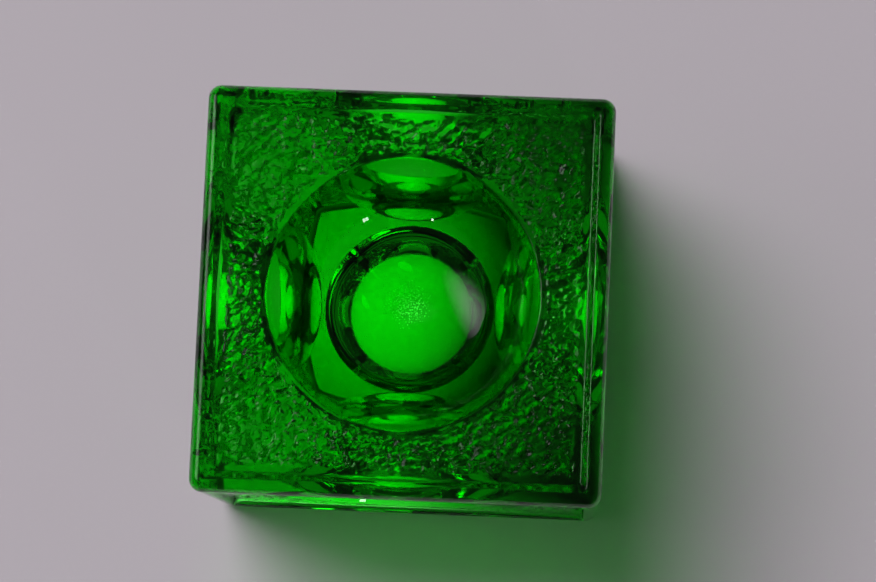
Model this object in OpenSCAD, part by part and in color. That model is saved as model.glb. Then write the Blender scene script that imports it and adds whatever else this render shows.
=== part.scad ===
// Pressed glass candlestick: one heavy block of clear green glass. A smooth rounded frame runs round
// every face. The top and the four walls are sunk a little inside their frames, and each face has a
// round hollow in its middle. The hollow on top is the cup that holds a ball candle or a tealight.
// The origin is in the middle of the base, +Z is up, and all sizes are in millimetres.

/* [Block] */
// Width of the block along X and Y
block_w = 90; // [80:0.5:120]
// Height of the block, base to rim
block_h = 71; // [70:0.5:90]
// Radius of the outer edges and corners
edge_r = 3; // [1:0.25:4]

/* [Sunken faces] */
// Width of the smooth frame left round each sunken face
frame_w = 5; // [4.5:0.25:5.5]
// How far the faces are sunk below their frames
sink = 1.5; // [0.5:0.25:2]
// Radius of a sunken face's corners
sink_corner_r = 3; // [1:0.25:6]

/* [Hollows] */
// Radius of the candle cup's mouth, in the sunken top face
cup_r = 30; // [26:0.25:32]
// Depth of the candle cup below the sunken top face
cup_depth = 22; // [16:0.5:24]
// Radius of the mouth of each wall's hollow
wall_hollow_r = 28; // [20:0.25:28.5]
// Depth of each wall's hollow below its sunken face
wall_hollow_depth = 18; // [10:0.5:18]
// Radius of the mouth of the hollow under the base
base_hollow_r = 33; // [28:0.25:34]
// Depth of the hollow under the base
base_hollow_depth = 17; // [10:0.5:18]

/* [Hidden] */
$fn = 128;
half_w = block_w / 2;
// How far a cutting tool runs out past the face that it cuts
overrun = 10;

// Radius of the ball whose cap has the given mouth radius and depth
function ball_r(mouth_r, depth) = (mouth_r * mouth_r + depth * depth) / (2 * depth);

// A square bar along Z, with its four long edges rounded
module rounded_bar(x, y, z, r) {
  translate([r, 0, 0]) cube([x - 2 * r, y, z]);
  translate([0, r, 0]) cube([x, y - 2 * r, z]);
  for (cx = [r, x - r], cy = [r, y - r])
    translate([cx, cy, 0]) cylinder(h = z, r = r);
}

// The outer form: a box whose twelve edges are all rounded, where three rounded bars cross
module rounded_box(x, y, z, r) {
  intersection() {
    rounded_bar(x, y, z, r);
    translate([0, y, 0]) rotate([90, 0, 0]) rounded_bar(x, z, y, r);
    rotate([90, 0, 90]) rounded_bar(y, z, x, r);
  }
}

// Tool that sinks a face lying at z = 0, seen from outside, and runs out above it
module sink_tool(x, y) {
  translate([-x / 2, -y / 2, -sink]) rounded_bar(x, y, sink + overrun, sink_corner_r);
}

// Tool for a round hollow whose mouth lies at z = 0
module hollow_tool(mouth_r, depth) {
  translate([0, 0, ball_r(mouth_r, depth) - depth]) sphere(r = ball_r(mouth_r, depth));
}

// A wall's sunken face and hollow, for the wall on the +X side
module wall_tools() {
  translate([half_w, 0, block_h / 2]) rotate([0, 90, 0]) {
    sink_tool(block_h - 2 * frame_w, block_w - 2 * frame_w);
    translate([0, 0, -sink]) hollow_tool(wall_hollow_r, wall_hollow_depth);
  }
}

module glass_block() {
  color("green") difference() {
    translate([-half_w, -half_w, 0]) rounded_box(block_w, block_w, block_h, edge_r);
    translate([0, 0, block_h]) {
      sink_tool(block_w - 2 * frame_w, block_w - 2 * frame_w);
      translate([0, 0, -sink]) hollow_tool(cup_r, cup_depth);
    }
    for (turn = [0:90:270]) rotate([0, 0, turn]) wall_tools();
    mirror([0, 0, 1]) hollow_tool(base_hollow_r, base_hollow_depth);
  }
}

glass_block();
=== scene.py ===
# %% [markdown]
# # A pressed glass candlestick
# The object is one heavy block of clear green glass, pressed in a mould. Every face has a smooth
# rounded frame. Inside the frame, the top and the four walls are sunk and carry a rough relief that
# looks like ice, and in the middle of every face is a smooth round hollow. The hollow on top is the
# cup for a ball candle or a tealight. What you see in such a block is mostly light that has been
# bent and mirrored inside it, so its form has to be right on all six sides, seen or not.
#
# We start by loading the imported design. It gives the block's box, and nothing here may grow past it.

# %% Load the design
import math

import bmesh
import bpy
from mathutils import Matrix, Quaternion, Vector
from mathutils.geometry import delaunay_2d_cdt


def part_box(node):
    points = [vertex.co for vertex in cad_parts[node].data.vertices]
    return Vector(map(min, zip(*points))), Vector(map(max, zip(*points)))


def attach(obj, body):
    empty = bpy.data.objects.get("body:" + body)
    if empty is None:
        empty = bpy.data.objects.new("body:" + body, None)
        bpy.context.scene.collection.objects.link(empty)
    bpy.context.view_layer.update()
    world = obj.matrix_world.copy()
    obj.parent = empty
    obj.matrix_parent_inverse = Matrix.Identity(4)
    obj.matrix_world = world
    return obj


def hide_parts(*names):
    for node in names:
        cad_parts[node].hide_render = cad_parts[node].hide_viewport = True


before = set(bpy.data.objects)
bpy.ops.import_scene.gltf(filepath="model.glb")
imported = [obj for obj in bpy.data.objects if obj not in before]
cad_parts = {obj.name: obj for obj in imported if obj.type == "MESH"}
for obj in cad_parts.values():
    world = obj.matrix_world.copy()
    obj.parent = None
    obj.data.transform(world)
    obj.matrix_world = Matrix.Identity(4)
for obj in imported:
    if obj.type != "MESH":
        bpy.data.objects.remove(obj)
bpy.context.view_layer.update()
block_low, block_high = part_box("glass_block")
half_width = (block_high.x - block_low.x) / 2
height = block_high.z - block_low.z
print(f"block {2000 * half_width:.1f} mm wide, {1000 * height:.1f} mm high")

# %% [markdown]
# ## The sizes that the mould gives
# Every size that shapes a face is named once, in metres. The frame is a rounded outer edge, a narrow
# flat top and a slope that falls to the sunken face. The hollows are caps of a ball: a cap is fully
# given by the radius of its mouth and its depth. Each mouth has a small rounded lip, because hot
# glass never fills a sharp edge.

# %% Sizes
MM = 0.001
EDGE_R = 3.0 * MM
FRAME_TOP = 3.0 * MM
FRAME_FOOT = 5.0 * MM
SINK = 1.5 * MM
CUP_MOUTH, CUP_DEPTH = 30.0 * MM, 22.0 * MM
WALL_MOUTH, WALL_DEPTH = 28.0 * MM, 18.0 * MM
BASE_MOUTH, BASE_DEPTH = 33.0 * MM, 17.0 * MM
LIP_R = 0.8 * MM

# %% [markdown]
# ## One ring of points round a face
# A face is built from the outside in, as rings that all have the same number of points, so that two
# neighbouring rings can be joined by quads. A ring is a rectangle, which gets rounded corners once it
# lies on the slope. Two faces that share an edge must put the same points on it, or the skin would
# have holes. That is why a ring is cut into straight stretches and corner stretches, and both have a
# fixed number of steps.

# %% Rings
CORNER_ZONE = 6 * MM
CORNER_STEPS = 8
STRAIGHT_STEP = 1.7 * MM


def straight_steps(half_length):
    """How many steps the straight part of an edge gets."""
    return max(2, round(2 * (half_length - CORNER_ZONE) / STRAIGHT_STEP))


def corner_path(reach, corner_r):
    """Points from one leg of a corner to the other, as distances in from the two sides."""
    leg = max(reach - corner_r, 0.0)
    arc = corner_r * math.pi / 4
    half = []
    for step in range(CORNER_STEPS + 1):
        run = (leg + arc) * step / CORNER_STEPS
        if run <= leg or corner_r == 0:
            half.append((0.0, reach - run))
        else:
            turn = (run - leg) / corner_r
            half.append((corner_r * (1 - math.cos(turn)), corner_r * (1 - math.sin(turn))))
    return half + [(b, a) for a, b in reversed(half[:-1])]


def ring(half_u, half_v, inset, corner_r):
    """A closed rectangle of points, inset from the sides of a face, counter-clockwise."""
    reach = max(CORNER_ZONE - inset, corner_r)
    path = corner_path(reach, corner_r)
    hu, hv = half_u - inset, half_v - inset
    points = []
    quarter = [(hu, hv, half_v), (hv, hu, half_u), (hu, hv, half_v), (hv, hu, half_u)]
    for turn, (out, side, side_full) in enumerate(quarter):
        steps = straight_steps(side_full)
        straight = side - reach
        local = [(out, -straight + 2 * straight * k / steps) for k in range(steps)]
        local += [(out - a, side - b) for a, b in path[:-1]]
        spin = Matrix.Rotation(turn * math.pi / 2, 2)
        points += [spin @ Vector(p) for p in local]
    return points


print("points round the top face:", len(ring(half_width, half_width, 0, 0)))

# %% [markdown]
# ## The two profiles
# Cut through the frame, and the section is a flat top, a slope and the sunken face, with a soft bend
# at both ends of the slope. Cut through a hollow, and it is an arc of the ball, and then the small
# arc of the lip, which touches both the ball and the face. Both follow a rule, so both are functions.

# %% Profiles
SLOPE_BEND = 0.3


def slope_share(x):
    """0 at the top of the slope and 1 at its foot: straight, with rounded ends."""
    b = SLOPE_BEND
    rate = 1 / (1 - b)
    if x < b:
        return rate * x * x / (2 * b)
    if x > 1 - b:
        return 1 - rate * (1 - x) ** 2 / (2 * b)
    return rate * (x - b / 2)


def hollow_profile(mouth_r, depth, ball_steps, lip_steps=4):
    """(radius, height above the face) from the bottom of a hollow to the outside of its lip."""
    ball_r = (mouth_r ** 2 + depth ** 2) / (2 * depth)
    centre = ball_r - depth
    lip_centre = math.sqrt((ball_r + LIP_R) ** 2 - (centre + LIP_R) ** 2)
    touch = math.atan2(lip_centre, centre + LIP_R)
    points = []
    for step in range(ball_steps + 1):
        angle = touch * step / ball_steps
        points.append((ball_r * math.sin(angle), centre - ball_r * math.cos(angle)))
    for step in range(1, lip_steps + 1):
        angle = touch * (1 - step / lip_steps)
        points.append((lip_centre - LIP_R * math.sin(angle), LIP_R * (math.cos(angle) - 1)))
    return points


CUP_STEPS, CUP_TURNS = 26, 160
WALL_STEPS, WALL_TURNS = 14, 96
BASE_STEPS, BASE_TURNS = 22, 160
lip_end = hollow_profile(CUP_MOUTH, CUP_DEPTH, CUP_STEPS)[-1]
print("the cup's lip ends at", [round(v / MM, 2) for v in lip_end], "mm")

# %% [markdown]
# ## The frame of a face
# A face is laid out flat first: (u, v) in its plane and w along its outward normal. The frame is laid
# from the edge inwards. Its first rings lie where the rounded edge will be, so they crowd towards the
# edge as the tangent does. The other rings run down the slope. A fourth number goes with each point:
# its relief share, which is 0 here, because the frame is smooth.

# %% Frame of a face
EDGE_RINGS = 5
SLOPE_RINGS = 8
FIELD_CORNER_R = 0.9 * MM
FIELD_EDGE = 0.3 * MM


def strip(first, count, second):
    """Quads that join two closed rings of count points."""
    after = [(k + 1) % count for k in range(count)]
    return [(first + k, first + after[k], second + after[k], second + k) for k in range(count)]


def frame_rings(sunk):
    """(inset, corner radius, drop) of each ring of a frame, from the edge inwards."""
    rings = []
    for k in range(EDGE_RINGS + 1):
        lean = math.pi / 4 * (1 - k / EDGE_RINGS)
        rings.append((EDGE_R * (1 - math.tan(lean)), 0.0, 0.0))
    if sunk:
        for k in range(1, SLOPE_RINGS + 1):
            share = k / SLOPE_RINGS
            inset = FRAME_TOP + (FRAME_FOOT - FRAME_TOP) * share
            rings.append((inset, FIELD_CORNER_R, SINK * slope_share(share)))
        rings.append((FRAME_FOOT + FIELD_EDGE, FIELD_CORNER_R, SINK))
    return rings


def lay_frame(points, faces, half_u, half_v, sunk):
    """Adds a face's frame, and returns where its last ring starts and that ring's length."""
    for inset, corner_r, drop in frame_rings(sunk):
        start = len(points)
        loop = ring(half_u, half_v, inset, corner_r)
        points += [(p.x, p.y, -drop, 0.0) for p in loop]
        if start:
            faces += strip(start - len(loop), len(loop), start)
    return len(points) - len(loop), len(loop)


print("rings in a sunken face's frame:", len(frame_rings(True)))

# %% [markdown]
# ## The hollow of a face
# The hollow is turned like a bowl on a wheel: each point of its profile becomes a ring, from the lip
# down to one last point at the bottom, which closes it.

# %% Hollow of a face
def lay_hollow(points, faces, face_w, mouth_r, depth, turns, ball_steps):
    """Adds a face's hollow, and returns where the ring of its mouth starts and its radius."""
    profile = hollow_profile(mouth_r, depth, ball_steps)
    mouth_start = len(points)
    for radius, rise in reversed(profile[1:]):
        start = len(points)
        for k in range(turns):
            angle = 2 * math.pi * k / turns
            points.append((radius * math.cos(angle), radius * math.sin(angle), face_w + rise, 0.0))
        if start > mouth_start:
            faces += strip(start - turns, turns, start)
    last = len(points) - turns
    points.append((0.0, 0.0, face_w + profile[0][1], 0.0))
    faces += [(last + k, last + (k + 1) % turns, len(points) - 1) for k in range(turns)]
    return mouth_start, profile[-1][0]


bowl_points, bowl_faces = [], []
lay_hollow(bowl_points, bowl_faces, 0.0, CUP_MOUTH, CUP_DEPTH, CUP_TURNS, CUP_STEPS)
print(f"the cup alone: {len(bowl_points)} points, {len(bowl_faces)} faces")

# %% [markdown]
# ## The field between them
# The field goes from a square outside to a circle inside. A grid of rays would be crowded beside the
# mouth and coarse in the corners, just where the relief needs points, so the field is filled with an
# even pattern of points, and a Delaunay fill joins them to the frame and the mouth. Along a straight
# border the fill also gives slivers with no area, which are left out. The relief share rises here
# from 0 beside the frame and the lip to 1 on the open field.

# %% Field of a face
SLIVER = 0.0001


def smooth_rise(x, low, high):
    """A soft step from 0 below low to 1 above high."""
    t = min(max((x - low) / (high - low), 0.0), 1.0)
    return t * t * (3 - 2 * t)


def field_points(half_u, half_v, mouth, spacing):
    """An even triangular pattern of points over a field, outside its mouth."""
    rise = spacing * math.sqrt(3) / 2
    rows = int(2 * half_v / rise) - 1
    columns = int(2 * half_u / spacing) - 1
    points = []
    for row in range(rows):
        v = (row - (rows - 1) / 2) * rise
        for column in range(columns):
            u = (column - (columns - 1) / 2 + 0.5 * (row % 2) - 0.25) * spacing
            if math.hypot(u, v) > mouth + 0.6 * spacing:
                points.append(Vector((u, v)))
    return points


def relief_share(p, half_u, half_v, mouth):
    """How much of the relief a point of the field carries."""
    to_frame = min(half_u - abs(p.x), half_v - abs(p.y))
    off_mouth = p.length - mouth
    return smooth_rise(to_frame, 0.7 * MM, 2.2 * MM) * smooth_rise(off_mouth, 0.5 * MM, 1.6 * MM)


def lay_field(points, faces, border, rim, half_u, half_v, mouth, spacing, sunk):
    """Fills the field between the border and the rim, which are runs of points laid before."""
    face_w = points[border[0]][2]
    given = [Vector(points[k][:2]) for k in border + rim]
    loops = [(k, (k + 1) % len(border)) for k in range(len(border))]
    loops += [(len(border) + k, len(border) + (k + 1) % len(rim)) for k in range(len(rim))]
    inner = field_points(half_u, half_v, mouth, spacing)
    laid, _, cells, *_ = delaunay_2d_cdt(given + inner, loops, [], 0, 1e-9)
    start = len(points)
    for p in laid:
        share = relief_share(p, half_u, half_v, mouth) if sunk else 0.0
        points.append((p.x, p.y, face_w, share))
    inside = mouth * math.cos(math.pi / len(rim))
    for cell in cells:
        a, b, c = [laid[k] for k in cell]
        has_area = abs((b - a).cross(c - a)) > SLIVER * spacing ** 2
        farthest = max(a.length, b.length, c.length)
        if has_area and ((a + b + c).length / 3 > inside or farthest > mouth * 1.0001):
            faces.append(tuple(start + k for k in cell))


def flat_face(half_u, half_v, mouth_r, depth, spacing, turns, sunk, ball_steps):
    """Points (u, v, w, relief share) and faces of one face of the block, laid out flat."""
    points, faces = [], []
    border_start, border_count = lay_frame(points, faces, half_u, half_v, sunk)
    face_w = points[-1][2]
    mouth_start, mouth = lay_hollow(points, faces, face_w, mouth_r, depth, turns, ball_steps)
    border = list(range(border_start, border_start + border_count))
    rim = list(range(mouth_start, mouth_start + turns))
    inset = frame_rings(sunk)[-1][0]
    lay_field(points, faces, border, rim, half_u - inset, half_v - inset, mouth, spacing, sunk)
    return points, faces


COARSE = 2 * MM
wall_size = (half_width, height / 2, WALL_MOUTH, WALL_DEPTH)
coarse_wall = flat_face(*wall_size, COARSE, WALL_TURNS, True, WALL_STEPS)
print(f"a coarse wall: {len(coarse_wall[0])} points, {len(coarse_wall[1])} faces")

# %% [markdown]
# ## Six faces, one skin
# Each flat face is stood on its side of the block. Near an edge its points still lie on a sharp box,
# so they are pulled onto the rounded one: take the nearest point of a box that is smaller by the edge
# radius, and step out from it by that radius. Edges become quarter rounds and corners become parts of
# a ball. Then the six faces are merged into one closed skin. Glass needs that: a renderer works out
# how far light has run inside it, and a hole would let the dark in.

# %% Assemble
TOP_SPACING, WALL_SPACING, BASE_SPACING = 0.36 * MM, 0.56 * MM, 4 * MM
MERGE = 0.001 * MM


def stand(point, axes, middle, reach, inner_low, inner_high):
    """Moves one flat point onto its side of the block, and rounds the block's edge."""
    along, up, out = axes
    u, v, w = point[:3]
    on_box = middle + along * u + up * v + out * reach
    core = Vector([min(max(c, lo), hi) for c, lo, hi in zip(on_box, inner_low, inner_high)])
    return core + (on_box - core).normalized() * EDGE_R + out * w


def build_block():
    """The block's plain skin, with the relief share of each point."""
    x, y, z = Vector((1, 0, 0)), Vector((0, 1, 0)), Vector((0, 0, 1))
    half_height = height / 2
    middle = (block_low + block_high) / 2
    inset = Vector((EDGE_R,) * 3)
    inner_low, inner_high = block_low + inset, block_high - inset
    top_hollow = (CUP_MOUTH, CUP_DEPTH, TOP_SPACING, CUP_TURNS)
    base_hollow = (BASE_MOUTH, BASE_DEPTH, BASE_SPACING, BASE_TURNS)
    wall_hollow = (WALL_MOUTH, WALL_DEPTH, WALL_SPACING, WALL_TURNS)
    top = flat_face(half_width, half_width, *top_hollow, True, CUP_STEPS)
    base = flat_face(half_width, half_width, *base_hollow, False, BASE_STEPS)
    wall = flat_face(half_width, half_height, *wall_hollow, True, WALL_STEPS)
    sides = [(top, (x, y, z), half_height), (base, (x, -y, -z), half_height)]
    for quarter in range(4):
        spin = Matrix.Rotation(quarter * math.pi / 2, 3, "Z")
        sides.append((wall, (spin @ y, z, spin @ x), half_width))
    skin = bmesh.new()
    relief = skin.verts.layers.float.new("relief")
    for (points, faces), axes, reach in sides:
        made = []
        for point in points:
            vert = skin.verts.new(stand(point, axes, middle, reach, inner_low, inner_high))
            vert[relief] = point[3]
            made.append(vert)
        for face in faces:
            skin.faces.new([made[k] for k in face]).smooth = True
    bmesh.ops.remove_doubles(skin, verts=skin.verts[:], dist=MERGE)
    bmesh.ops.recalc_face_normals(skin, faces=skin.faces[:])
    bmesh.ops.triangulate(skin, faces=skin.faces[:])
    open_edges = sum(not e.is_manifold for e in skin.edges)
    mesh = bpy.data.meshes.new("glass_block_skin")
    skin.to_mesh(mesh)
    skin.free()
    print(f"skin: {len(mesh.vertices)} points, {len(mesh.polygons)} triangles, {open_edges} open edges")
    block = bpy.data.objects.new("green_glass_block", mesh)
    bpy.context.scene.collection.objects.link(block)
    return block


block = build_block()

# %% [markdown]
# ## Node maths that reads like maths
# Both the relief and the finish are made with nodes. This small class wraps a socket, so that an
# expression such as 1 - share adds its Math nodes by itself. A tree is filled through one method,
# which takes a node's type, its settings and what goes into its sockets.

# %% Node helper
class Wire:
    """A node's output, with the operators that the trees below use."""

    def __init__(self, tree, socket):
        self.tree, self.socket = tree, socket

    def maths(self, operation, *values):
        return add_node(self.tree, "ShaderNodeMath", {"operation": operation}, dict(enumerate(values)))

    def __add__(self, other):
        return self.maths("ADD", self, other)

    def __sub__(self, other):
        return self.maths("SUBTRACT", self, other)

    def __rsub__(self, other):
        return self.maths("SUBTRACT", other, self)

    def __mul__(self, other):
        return self.maths("MULTIPLY", self, other)

    def __abs__(self):
        return self.maths("ABSOLUTE", self)

    __radd__ = __add__
    __rmul__ = __mul__


def add_node(tree, kind, settings=None, sockets=None, out=0):
    """Adds a node, sets it up, fills its sockets with values or wires, and returns one output."""
    node = tree.nodes.new(kind)
    for name, value in (settings or {}).items():
        setattr(node, name, value)
    for name, value in (sockets or {}).items():
        if isinstance(value, Wire):
            tree.links.new(value.socket, node.inputs[name])
        else:
            node.inputs[name].default_value = value
    return Wire(tree, node.outputs[out]) if len(node.outputs) else node


def soft_step(tree, value, low, high):
    """0 below low, 1 above high, with a smooth rise between."""
    ends = {"From Min": low, "From Max": high, "Value": value}
    return add_node(tree, "ShaderNodeMapRange", {"interpolation_type": "SMOOTHSTEP"}, ends, "Result")


print("a wire adds, takes away, multiplies and gives its size without sign")

# %% [markdown]
# ## The ice relief
# The sunken faces look like ice: small domed grains, a millimetre or two across, drawn out a little
# in one slanting direction, as glass is when it flows into a mould. This is a rule that follows a
# surface, so Geometry Nodes make it. A Voronoi texture gives the distance from each grain's middle,
# and a dome falls off as the square of it. A low noise bends the pattern so that no cell looks like
# a cell, a second noise makes some grains high and some low, and a third adds a slow swell. The
# result moves each point along its normal, times its relief share. Real points, rather than a bump
# in the finish, matter here: the sides of the grains throw the light sideways through the block.

# %% Relief tree
RELIEF_LEAN = (0.35, -0.35, math.radians(-40))


def relief_tree():
    """Geometry Nodes that press the relief into the skin."""
    tree = bpy.data.node_groups.new("ice_relief", "GeometryNodeTree")
    face = tree.interface
    face.new_socket("Geometry", in_out="INPUT", socket_type="NodeSocketGeometry")
    for name in ("Depth", "Grain", "Stretch", "Seed"):
        face.new_socket(name, in_out="INPUT", socket_type="NodeSocketFloat")
    face.new_socket("Material", in_out="INPUT", socket_type="NodeSocketMaterial")
    face.new_socket("Geometry", in_out="OUTPUT", socket_type="NodeSocketGeometry")
    given = tree.nodes.new("NodeGroupInput")
    taken = {s.name: Wire(tree, s) for s in given.outputs if s.name}
    place = add_node(tree, "GeometryNodeInputPosition")
    normal = add_node(tree, "GeometryNodeInputNormal")
    one_over = add_node(tree, "ShaderNodeMath", {"operation": "DIVIDE"}, {0: 1.0, 1: taken["Grain"]})
    in_grains = add_node(
        tree, "ShaderNodeVectorMath", {"operation": "SCALE"}, {0: place, "Scale": one_over}
    )
    drift = add_node(
        tree, "ShaderNodeTexNoise", {"noise_dimensions": "4D"},
        {"Vector": in_grains, "W": taken["Seed"], "Scale": 0.45, "Detail": 2.0}, "Color",
    )
    bend = add_node(tree, "ShaderNodeVectorMath", {"operation": "SCALE"}, {0: drift, "Scale": 2.6})
    bent = add_node(tree, "ShaderNodeVectorMath", {"operation": "ADD"}, {0: in_grains, 1: bend})
    turned = add_node(
        tree, "ShaderNodeVectorRotate", {"rotation_type": "EULER_XYZ"},
        {"Vector": bent, "Rotation": RELIEF_LEAN},
    )
    squeeze = add_node(tree, "ShaderNodeCombineXYZ", {}, {0: taken["Stretch"], 1: 1.0, 2: 0.8})
    cells = add_node(tree, "ShaderNodeVectorMath", {"operation": "MULTIPLY"}, {0: turned, 1: squeeze})
    from_middle = add_node(
        tree, "ShaderNodeTexVoronoi", {"voronoi_dimensions": "3D", "feature": "F1"},
        {"Vector": cells, "Scale": 1.0}, "Distance",
    )
    domes = 0.25 - from_middle * from_middle
    breaks = add_node(
        tree, "ShaderNodeTexNoise", {"noise_dimensions": "4D"},
        {"Vector": in_grains, "W": taken["Seed"] + 3.7, "Scale": 0.6, "Detail": 1.0}, "Fac",
    )
    strength = soft_step(tree, breaks, 0.25, 0.60) * 0.7 + 0.5
    swell = add_node(
        tree, "ShaderNodeTexNoise", {"noise_dimensions": "4D"},
        {"Vector": cells, "W": taken["Seed"] + 9.1, "Scale": 0.9, "Detail": 1.5}, "Fac",
    )
    height_share = domes * strength + (swell - 0.5) * 0.5
    share = add_node(tree, "GeometryNodeInputNamedAttribute", {"data_type": "FLOAT"}, {"Name": "relief"})
    lift = height_share * taken["Depth"] * share
    offset = add_node(tree, "ShaderNodeVectorMath", {"operation": "SCALE"}, {0: normal, "Scale": lift})
    plain = taken["Geometry"]
    pressed = add_node(tree, "GeometryNodeSetPosition", {}, {"Geometry": plain, "Offset": offset})
    real = add_node(tree, "GeometryNodeRealizeInstances", {}, {"Geometry": pressed})
    finish = taken["Material"]
    glazed = add_node(tree, "GeometryNodeSetMaterial", {}, {"Geometry": real, "Material": finish})
    add_node(tree, "NodeGroupOutput", {}, {"Geometry": glazed})
    return tree


ice = relief_tree()
print("relief tree:", len(ice.nodes), "nodes, inputs", [s.name for s in ice.interface.items_tree])

# %% [markdown]
# ## The glass
# Green bottle glass is clear: it has no colour on its surface, and takes red and blue out of the
# light that runs through it. So the surface shader is plain clear glass, and the colour is a Volume
# Absorption, which gets deeper where the glass is thicker. The moulded skin is never perfect. It has
# a faint wave, fine cracks between the grains of the relief, too narrow for the mesh, and a patch of
# tiny scratches in the bottom of the cup, where candles have stood. The cracks follow the middle
# value of a noise, which makes short wandering strokes, and they are deeper in some patches.

# %% Glass
GLASS_IOR = 1.52
ABSORB_COLOR = (0.0, 0.948, 0.01, 1.0)
ABSORB_DENSITY = 450.0
WAVE_HEIGHT = 0.04 * MM
CRACK_DEPTH = 0.55 * MM
SCRATCH_DEPTH = 0.06 * MM
WORN_REACH = 9 * MM


def green_glass():
    """Clear pressed glass that is green all the way through."""
    material = bpy.data.materials.new("green_glass")
    material.use_nodes = True
    tree = material.node_tree
    tree.nodes.clear()
    place = add_node(tree, "ShaderNodeTexCoord", out="Object")
    relief = add_node(tree, "ShaderNodeAttribute", {"attribute_name": "relief"}, out="Fac")

    def noise(where, scale, detail):
        """One noise texture, read at the given places."""
        sockets = {"Vector": where, "Scale": scale, "Detail": detail}
        return add_node(tree, "ShaderNodeTexNoise", {}, sockets, "Fac")

    wave = noise(place, 90.0, 1.0)
    leaned = add_node(
        tree, "ShaderNodeVectorRotate", {"rotation_type": "EULER_XYZ"},
        {"Vector": place, "Rotation": RELIEF_LEAN},
    )
    drawn = add_node(
        tree, "ShaderNodeVectorMath", {"operation": "MULTIPLY"}, {0: leaned, 1: (0.6, 1.0, 0.8)}
    )
    between = soft_step(tree, abs(noise(drawn, 440.0, 1.0) - 0.5), 0.0, 0.16)
    cracks = between * (soft_step(tree, noise(place, 48.0, 1.0), 0.38, 0.6) * 0.75 + 0.35)
    scratch = noise(place, 3200.0, 1.0)
    cup_bottom = (0.0, 0.0, block_high.z - SINK - CUP_DEPTH)
    away = add_node(
        tree, "ShaderNodeVectorMath", {"operation": "DISTANCE"}, {0: place, 1: cup_bottom}, "Value"
    )
    near = 1 - soft_step(tree, away, 0.5 * MM, WORN_REACH)
    worn = soft_step(tree, scratch + near * 0.22, 0.70, 0.78) * soft_step(tree, near, 0.05, 0.4)
    height_map = wave * WAVE_HEIGHT + cracks * relief * CRACK_DEPTH + worn * SCRATCH_DEPTH
    bump = add_node(tree, "ShaderNodeBump", {}, {"Height": height_map, "Strength": 1.0, "Distance": 1.0})
    glass = add_node(
        tree, "ShaderNodeBsdfPrincipled", {},
        {
            "Base Color": (1, 1, 1, 1),
            "Roughness": worn * 0.3,
            "IOR": GLASS_IOR,
            "Transmission Weight": 1.0,
            "Normal": bump,
        },
    )
    tint = add_node(
        tree, "ShaderNodeVolumeAbsorption", {}, {"Color": ABSORB_COLOR, "Density": ABSORB_DENSITY}
    )
    add_node(tree, "ShaderNodeOutputMaterial", {}, {"Surface": glass, "Volume": tint})
    return material


glass = green_glass()
lost = ABSORB_DENSITY * (1 - ABSORB_COLOR[1])
print(f"green light left after 10 mm of glass: {100 * math.exp(-10 * MM * lost):.0f} %")

# %% [markdown]
# ## Press the relief
# The tree is put on the block as a modifier, its inputs are set, and the result is made into a plain
# mesh. From here on the block is ordinary geometry.

# %% Press
RELIEF_DEPTH = 1.8 * MM
RELIEF_GRAIN = 1.6 * MM
RELIEF_STRETCH = 0.62
RELIEF_SEED = 4.0


def set_inputs(modifier, values):
    """Sets a Geometry Nodes modifier's inputs through their identifiers."""
    for item in modifier.node_group.interface.items_tree:
        if item.in_out == "INPUT" and item.name in values:
            modifier[item.identifier] = values[item.name]


def press(block):
    """Runs the relief tree on the block and keeps its result."""
    modifier = block.modifiers.new("ice_relief", "NODES")
    modifier.node_group = ice
    values = {"Depth": RELIEF_DEPTH, "Grain": RELIEF_GRAIN, "Stretch": RELIEF_STRETCH, "Seed": RELIEF_SEED}
    set_inputs(modifier, {**values, "Material": glass})
    bpy.context.view_layer.update()
    result = block.evaluated_get(bpy.context.evaluated_depsgraph_get())
    mesh = bpy.data.meshes.new_from_object(result)
    block.modifiers.remove(modifier)
    block.data = mesh
    heights = [p.co.z / MM for p in mesh.vertices]
    print(f"pressed: {len(mesh.polygons)} faces, z from {min(heights):.2f} to {max(heights):.2f} mm")


press(block)
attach(block, "root")
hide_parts("glass_block")

# %% [markdown]
# ## The table
# The block stands on a pale, slightly mauve table. It lies a hair below the glass, because two
# surfaces in one plane would flicker. The square under the block is a piece of its own with the same
# finish, so that the light gathered there can be set apart from the light on the rest of the table.

# %% Table
TABLE_HALF = 1.5
GAP, GAP_UNDER_BLOCK = 0.05 * MM, 0.04 * MM
TABLE_DARK, TABLE_LIGHT = (0.49, 0.442, 0.484, 1), (0.52, 0.469, 0.514, 1)


def table_finish():
    """A pale matt table top with a very faint mottle."""
    material = bpy.data.materials.new("table_top")
    material.use_nodes = True
    tree = material.node_tree
    tree.nodes.clear()
    place = add_node(tree, "ShaderNodeTexCoord", out="Object")
    mottle = add_node(tree, "ShaderNodeTexNoise", {}, {"Vector": place, "Scale": 9.0, "Detail": 3.0}, "Fac")
    tone = add_node(
        tree, "ShaderNodeMix", {"data_type": "RGBA"},
        {"Factor": mottle, 6: TABLE_DARK, 7: TABLE_LIGHT}, 2,
    )
    matt = add_node(
        tree, "ShaderNodeBsdfPrincipled", {},
        {"Base Color": tone, "Roughness": 0.6, "Specular IOR Level": 0.3},
    )
    add_node(tree, "ShaderNodeOutputMaterial", {}, {"Surface": matt})
    return material


def lay_square(name, half, level, material):
    """A flat square round the middle of the block, as a piece of the stage."""
    mesh = bpy.data.meshes.new(name)
    corners = [(-half, -half, level), (half, -half, level), (half, half, level), (-half, half, level)]
    mesh.from_pydata(corners, [], [(0, 1, 2, 3)])
    mesh.materials.append(material)
    square = bpy.data.objects.new(name, mesh)
    bpy.context.scene.collection.objects.link(square)
    return square


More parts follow.
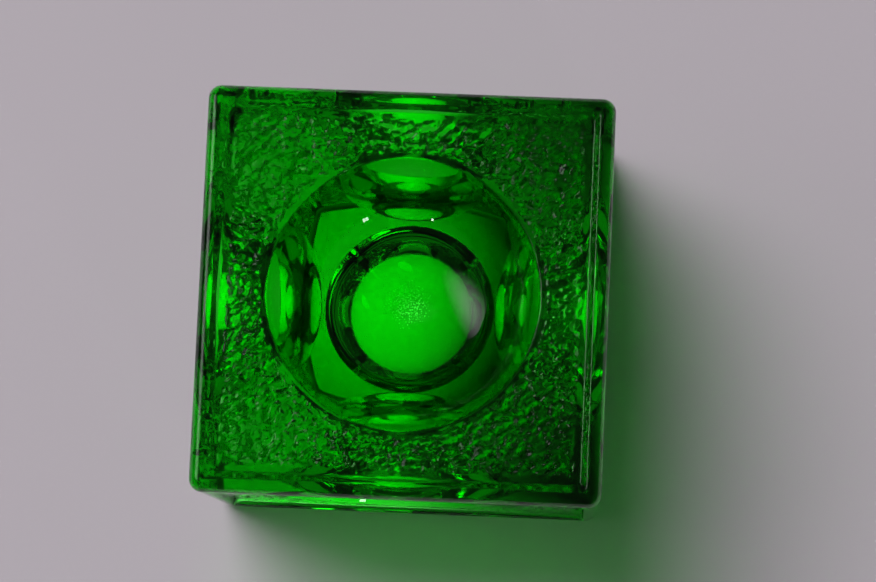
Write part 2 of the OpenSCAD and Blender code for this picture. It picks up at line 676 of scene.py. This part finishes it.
pale = table_finish()
table_top = lay_square("table_top", TABLE_HALF, block_low.z - GAP, pale)
under = half_width - EDGE_R
table_under = lay_square("table_under_block", under, block_low.z - GAP_UNDER_BLOCK, pale)
print(f"table {2 * TABLE_HALF:.1f} m wide, {GAP / MM:.2f} mm below the block")

# %% [markdown]
# ## The light of the room
# A soft window stands to the left and a little behind. Its face is brightest at one place and fades to
# nothing at its sides, as a window does behind a curtain, and the cup mirrors it. A broad skylight
# gives the soft shadow to the right. It is kept out of mirror reflections, so that the cup shows the
# window alone. Two small lamps near the viewer give the pinpoint glints in the cup, and the room
# itself adds a faint cool grey from everywhere.

# %% Room lights
def shine(name, kind, place, aim, power, turn=0.0):
    """A light at place, aimed at a point and turned about its own axis."""
    data = bpy.data.lights.new(name, kind)
    data.energy = power
    thing = bpy.data.objects.new(name, data)
    thing.location = place
    facing = (Vector(place) - Vector(aim)).to_track_quat("Z", "Y")
    thing.rotation_euler = (facing @ Quaternion((0, 0, 1), turn)).to_euler()
    bpy.context.scene.collection.objects.link(thing)
    return thing


def lamp(name, place, aim, size, power, turn=0.0):
    """A rectangular area lamp."""
    thing = shine(name, "AREA", place, aim, power, turn)
    thing.data.shape = "RECTANGLE"
    thing.data.size, thing.data.size_y = size
    return thing


def soften(thing, peak, reach):
    """Makes a lamp brightest at one point of its face and fade to nothing at its sides."""
    thing.data.use_nodes = True
    tree = thing.data.node_tree
    tree.nodes.clear()
    spot = add_node(tree, "ShaderNodeNewGeometry", out="Parametric")
    away = add_node(tree, "ShaderNodeVectorMath", {"operation": "SUBTRACT"}, {0: spot, 1: (*peak, 0.0)})
    scaled = add_node(tree, "ShaderNodeVectorMath", {"operation": "DIVIDE"}, {0: away, 1: (*reach, 1.0)})
    distance = add_node(tree, "ShaderNodeVectorMath", {"operation": "LENGTH"}, {0: scaled}, "Value")
    fading = 1 - soft_step(tree, distance, 0.0, 1.0)
    light = add_node(tree, "ShaderNodeEmission", {}, {"Strength": fading})
    add_node(tree, "ShaderNodeOutputLight", {}, {"Surface": light})


def toward(azimuth, elevation, distance):
    """A place in a direction from the block's middle, with angles in degrees."""
    a, e = math.radians(azimuth), math.radians(elevation)
    flat = distance * math.cos(e)
    return Vector((flat * math.cos(a), flat * math.sin(a), distance * math.sin(e) + height / 2))


middle = (0, 0, height / 2)
WINDOW_SIZE, WINDOW_TURN = (0.96, 0.44), math.radians(36)
WINDOW_PEAK, WINDOW_REACH = (0.33, 0.5), (0.62, 0.5)
SKY_SPREAD = 0.75
window = lamp("window", toward(181, 41, 0.8), middle, WINDOW_SIZE, 3.2, WINDOW_TURN)
soften(window, WINDOW_PEAK, WINDOW_REACH)
skylight = shine("skylight", "SUN", toward(130, 50, 0.8), middle, 3.0)
skylight.data.angle = SKY_SPREAD
skylight.visible_glossy = False
lamp("glint_left", toward(-61, 18, 1.2), middle, (0.08, 0.08), 0.24)
lamp("glint_right", toward(-110, 22, 1.2), middle, (0.04, 0.04), 0.08)

ROOM_GREY, ROOM_STRENGTH = (0.9, 0.9, 1.0, 1), 0.03
world = bpy.data.worlds.new("room")
world.use_nodes = True
walls = world.node_tree.nodes["Background"]
walls.inputs["Color"].default_value = ROOM_GREY
walls.inputs["Strength"].default_value = ROOM_STRENGTH
bpy.context.scene.world = world

# %% [markdown]
# ## The light that glass gathers
# A glass block is a lens. It gathers light on the table beneath it and throws a green patch on the
# table in front, and what you see in the block is mostly that lit table. A renderer that follows
# light backwards from the eye finds such gathered light too seldom. So three spot lamps stand for
# it. They cast no shadow, so they light the table straight through the glass, and light linking
# keeps each on its own part of the table: two under the block, brightest on the window's side, and
# a green one in front. Their places and sizes are shares of the block's half width.

# %% Gathered light
GLOW_HEIGHT = 0.5
WHITE, GREEN = (1.0, 1.0, 1.0), (0.05, 1.0, 0.05)


def glow(name, x, y, reach, power, receiver, colour=WHITE):
    """A lamp straight above (x, y) that shines through the glass on a round patch of one receiver."""
    data = bpy.data.lights.new(name, "SPOT")
    data.energy = power
    data.color = colour
    data.spot_size = 2 * math.atan(reach * half_width / GLOW_HEIGHT)
    data.spot_blend = 1.0
    data.shadow_soft_size = 0.0
    data.use_shadow = False
    thing = bpy.data.objects.new(name, data)
    thing.location = (x * half_width, y * half_width, GLOW_HEIGHT)
    bpy.context.scene.collection.objects.link(thing)
    lit = bpy.data.collections.new(name + "_lights")
    lit.objects.link(receiver)
    thing.light_linking.receiver_collection = lit
    print(f"{name}: a patch {2 * reach * half_width / MM:.0f} mm across on {receiver.name}")


glow("glow_window_side", -1.11, 0.27, 2.22, 27.0, table_under)
glow("glow_under_cup", 0.0, 0.0, 0.8, 1.0, table_under)
glow("glow_green_front", 0.31, -1.56, 1.67, 1.1, table_top, GREEN)

# %% [markdown]
# ## The camera
# The camera looks steeply down, as if the block lay in front of someone who is standing at the table.
# A long lens from 0.7 m keeps the sides of the block nearly parallel.

# %% Camera
SENSOR = 36.0
LENS = 131.5
CAMERA_OVER_RIM = Vector((0.0371, -0.0765, 0.6927))
CAMERA_TURN = (6.463, 2.149, 2.519)
camera_data = bpy.data.cameras.new("camera")
camera_data.sensor_width = SENSOR
camera_data.lens = LENS
camera_data.clip_start, camera_data.clip_end = 0.01, 20
camera = bpy.data.objects.new("camera", camera_data)
bpy.context.scene.collection.objects.link(camera)
camera.location = CAMERA_OVER_RIM + Vector((0, 0, block_high.z))
camera.rotation_euler = [math.radians(a) for a in CAMERA_TURN]
bpy.context.scene.camera = camera
print("camera at", [round(c, 3) for c in camera.location], "m, lens", LENS, "mm")

# %% [markdown]
# ## Room for many bounces
# A ray through this block is bent and mirrored many times before it leaves. If it were cut off after a
# few turns, the glass would fill with black, so the limits are raised.

# %% Render settings that glass needs
scene = bpy.context.scene
scene.view_settings.view_transform = "Standard"
scene.cycles.max_bounces = 24
scene.cycles.transmission_bounces = 20
scene.cycles.transparent_max_bounces = 16
scene.cycles.use_denoising = True
